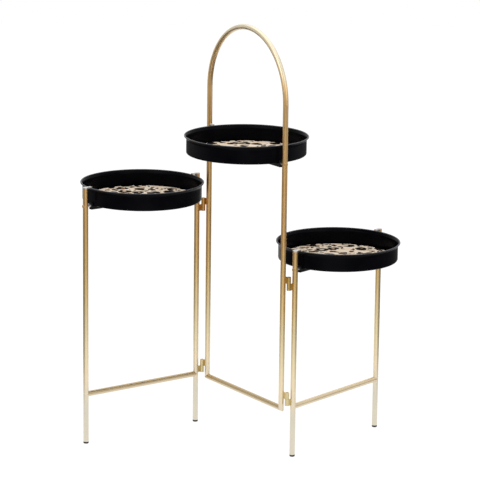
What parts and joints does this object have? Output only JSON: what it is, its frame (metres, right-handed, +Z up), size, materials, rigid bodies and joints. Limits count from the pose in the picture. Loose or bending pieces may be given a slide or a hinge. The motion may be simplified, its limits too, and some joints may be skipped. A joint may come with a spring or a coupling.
{
  "type": "plant stand",
  "caption": "Folding tiered plant stand: hinged zigzag of tube frames, each with a round rimmed tray, the middle frame a tall arch.",
  "frame": {"origin": "on the floor, under the middle of the stand's bounding box in its rest pose", "axes": "+Z up, +X to the right, and the front of the stand faces -Y"},
  "size_m": [0.654, 0.301, 0.8649],
  "materials": {
    "lacquered_tube": "smooth satin gold lacquer on steel tube",
    "lacquered_hinge": "satin gold lacquer on rolled steel",
    "black_enamel": "smooth glossy black paint on pressed steel",
    "black_bar": "satin black paint on steel bar",
    "animal_print": "fibreboard disc with a satin animal print",
    "plated_steel": "bright zinc plating",
    "gold_screw": "gold plated steel",
    "hinge_pin_steel": "bare bright steel",
    "black_plastic": "matte black moulded plastic"
  },
  "bodies": {
    "centre_frame": {"centre_arch_tube": "lacquered_tube", "centre_crossbar": "lacquered_tube", "centre_left_lug": "plated_steel", "centre_right_lug": "plated_steel", "left_low_hinge_upper_knuckle": "lacquered_hinge", "left_high_hinge_upper_knuckle": "lacquered_hinge", "right_low_hinge_upper_knuckle": "lacquered_hinge", "right_high_hinge_upper_knuckle": "lacquered_hinge", "centre_tray_pan": "black_enamel", "centre_tray_printed_disc": "animal_print", "centre_tray_bar": "black_bar", "centre_tray_bar_spacers": "plated_steel", "centre_tray_bar_screws": "gold_screw"},
    "left_frame": {"left_back_leg": "lacquered_tube", "left_front_leg": "lacquered_tube", "left_back_foot": "black_plastic", "left_front_foot": "black_plastic", "left_back_lug": "plated_steel", "left_front_lug": "plated_steel", "left_rail": "lacquered_tube", "left_low_hinge_lower_knuckle": "lacquered_hinge", "left_low_hinge_pin": "hinge_pin_steel", "left_high_hinge_lower_knuckle": "lacquered_hinge", "left_high_hinge_pin": "hinge_pin_steel", "left_tray_pan": "black_enamel", "left_tray_printed_disc": "animal_print", "left_tray_bar": "black_bar", "left_tray_bar_spacers": "plated_steel", "left_tray_bar_screws": "gold_screw"},
    "right_frame": {"right_front_leg": "lacquered_tube", "right_back_leg": "lacquered_tube", "right_front_foot": "black_plastic", "right_back_foot": "black_plastic", "right_front_lug": "plated_steel", "right_back_lug": "plated_steel", "right_rail": "lacquered_tube", "right_low_hinge_lower_knuckle": "lacquered_hinge", "right_low_hinge_pin": "hinge_pin_steel", "right_high_hinge_lower_knuckle": "lacquered_hinge", "right_high_hinge_pin": "hinge_pin_steel", "right_tray_pan": "black_enamel", "right_tray_printed_disc": "animal_print", "right_tray_bar": "black_bar", "right_tray_bar_spacers": "plated_steel", "right_tray_bar_screws": "gold_screw"}
  },
  "joints": [
    {"name": "left_fold", "type": "hinge", "parent": "centre_frame", "child": "left_frame", "pos_m": [-0.07646, 0.10773, 0.29575], "axis": [0, 0, -1], "range_deg": [-87.4, 92.6]},
    {"name": "right_fold", "type": "hinge", "parent": "centre_frame", "child": "right_frame", "pos_m": [0.09942, -0.13437, 0.242], "axis": [0, 0, -1], "range_deg": [-73.9, 106.1]}
  ]
}
